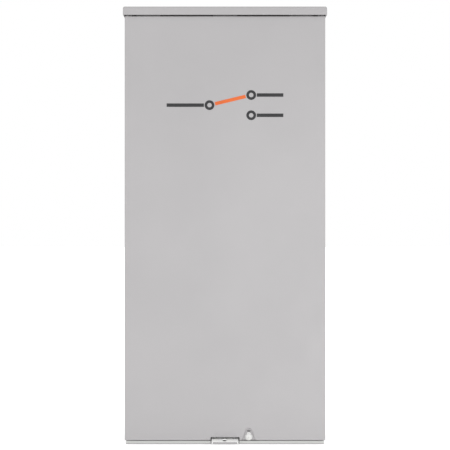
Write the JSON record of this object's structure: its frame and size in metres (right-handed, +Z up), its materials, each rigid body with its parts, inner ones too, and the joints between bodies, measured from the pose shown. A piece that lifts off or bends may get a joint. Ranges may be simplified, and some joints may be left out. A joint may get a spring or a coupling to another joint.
{
  "type": "manual transfer switch",
  "caption": "Tall wall-mounted outdoor sheet-metal switch box with a drip hood, a top-hinged flat cover, a padlock latch, a main breaker and a double-throw blade switch.",
  "frame": {"origin": "centre of the back wall's outer face, which sits on the building's wall", "axes": "+Z up, +X to the right seen from the front, -Y out of the cover"},
  "size_m": [0.343, 0.1749, 0.735],
  "materials": {
    "grey_paint": "fine powder coat, light grey, satin",
    "zinc": "bright zinc plating",
    "galvanised": "galvanised sheet with spangle",
    "copper": "copper, lightly tarnished",
    "lug_aluminium": "extruded, tumbled",
    "black_moulding": "moulded phenolic, fine texture",
    "insulating_board": "glass-polyester board",
    "handle_plastic": "moulded, semi-gloss",
    "bumper_rubber": "matte"
  },
  "bodies": {
    "cabinet": {"back_box": "grey_paint", "bonding_jumper": "copper", "box_hinge_centre": "grey_paint", "box_hinge_left": "grey_paint", "box_hinge_right": "grey_paint", "breaker_case": "black_moulding", "cover_screw_nut": "zinc", "dead_front": "grey_paint", "dead_front_screw_1": "zinc", "dead_front_screw_2": "zinc", "dead_front_screw_3": "zinc", "dead_front_screw_4": "zinc", "drip_hood": "grey_paint", "feed_bus_left": "copper", "feed_bus_right": "copper", "generator_jaw_left": "copper", "generator_jaw_right": "copper", "generator_lug_left": "lug_aluminium", "generator_lug_left_screw": "zinc", "generator_lug_right": "lug_aluminium", "generator_lug_right_screw": "zinc", "ground_bar": "lug_aluminium", "hinge_pin": "zinc", "latch_bracket": "galvanised", "latch_pin": "zinc", "line_lug_left": "lug_aluminium", "line_lug_left_screw": "zinc", "line_lug_right": "lug_aluminium", "line_lug_right_screw": "zinc", "load_lug_left": "lug_aluminium", "load_lug_left_screw": "zinc", "load_lug_right": "lug_aluminium", "load_lug_right_screw": "zinc", "load_terminal_left": "copper", "load_terminal_right": "copper", "mounting_pan": "galvanised", "neutral_bar": "lug_aluminium", "neutral_insulator": "black_moulding", "pan_screw_1": "zinc", "pan_screw_2": "zinc", "pan_screw_3": "zinc", "pan_screw_4": "zinc", "pivot_shaft": "black_moulding", "switch_base": "insulating_board", "utility_jaw_left": "copper", "utility_jaw_right": "copper"},
    "door": {"door_panel": "grey_paint", "door_hinge_left": "grey_paint", "door_hinge_right": "grey_paint", "seal_tab": "zinc", "door_bumper_left": "bumper_rubber", "door_bumper_right": "bumper_rubber"},
    "cover_screw": {"cover_screw": "zinc", "screw_retainer": "zinc"},
    "latch": {"latch_tongue": "zinc"},
    "transfer_blades": {"blade_left": "copper", "blade_right": "copper", "crossbar": "black_moulding", "transfer_handle": "handle_plastic"},
    "breaker_toggle": {"breaker_toggle": "black_moulding"}
  },
  "joints": [
    {"name": "door_hinge", "type": "hinge", "parent": "cabinet", "child": "door", "pos_m": [0, -0.1608, 0.3486], "axis": [-1, 0, 0], "range_deg": [0, 90]},
    {"name": "cover_screw_turn", "type": "hinge", "parent": "door", "child": "cover_screw", "pos_m": [0.0398, -0.165, -0.355], "axis": [0, -1, 0], "continuous": true},
    {"name": "latch_press", "type": "hinge", "parent": "cabinet", "child": "latch", "pos_m": [0, -0.146, -0.352], "axis": [1, 0, 0], "range_deg": [0, 8], "stiffness_Nm_per_rad": 0.4, "springref_deg": -17.19},
    {"name": "transfer_throw", "type": "hinge", "parent": "cabinet", "child": "transfer_blades", "pos_m": [0, -0.045, -0.025], "axis": [1, 0, 0], "range_deg": [0, 90]},
    {"name": "breaker_throw", "type": "hinge", "parent": "cabinet", "child": "breaker_toggle", "pos_m": [0, -0.078, 0.205], "axis": [1, 0, 0], "range_deg": [0, 44]}
  ]
}
